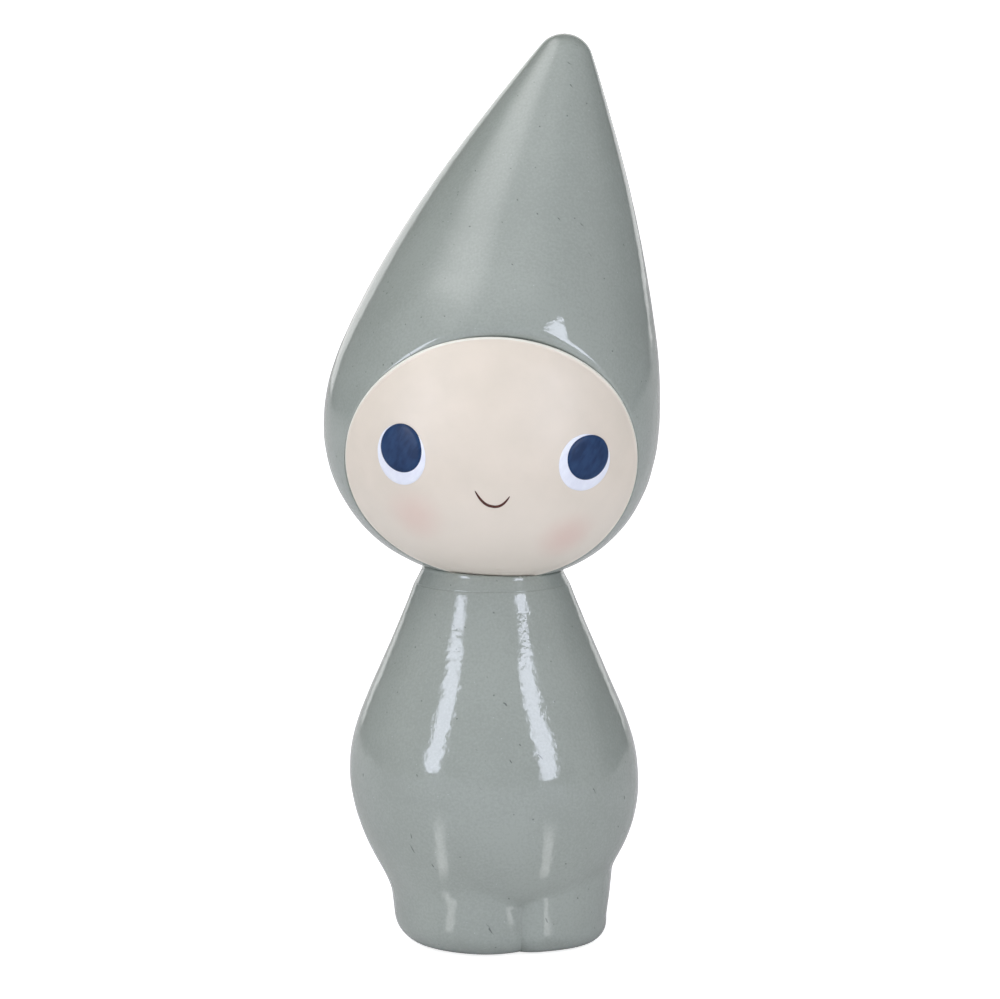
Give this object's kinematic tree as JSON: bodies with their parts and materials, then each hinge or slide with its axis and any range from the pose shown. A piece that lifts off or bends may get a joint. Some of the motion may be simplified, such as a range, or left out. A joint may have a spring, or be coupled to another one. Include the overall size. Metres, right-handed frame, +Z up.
{
  "type": "tomte gnome figurine",
  "caption": "Free-standing gnome figurine: tilted round head in a pointed hood, inset face with eyes and smile, pear-shaped body and lobed feet, pinned at the neck.",
  "frame": {"origin": "on the standing surface, under the middle of the whole figurine", "axes": "+Z up, the face looks along -Y, +X to the right as one faces it; the hood tilts towards +X and leans a little towards +Y"},
  "size_m": [0.0554, 0.055, 0.1501],
  "materials": {
    "sage_lacquer": "gloss",
    "cream_face": "matte",
    "white_enamel": "satin",
    "navy_enamel": "satin",
    "brown_line": "matte",
    "beech_dowel": "matte",
    "grey_felt": "matte"
  },
  "bodies": {
    "root": {"hood": "sage_lacquer", "face": "cream_face", "eye_white_left": "white_enamel", "eye_white_right": "white_enamel", "iris_left": "navy_enamel", "iris_right": "navy_enamel", "smile": "brown_line", "body": "sage_lacquer", "neck_bead": "sage_lacquer", "neck_dowel": "beech_dowel", "felt_pad_left": "grey_felt", "felt_pad_right": "grey_felt"}
  },
  "joints": []
}
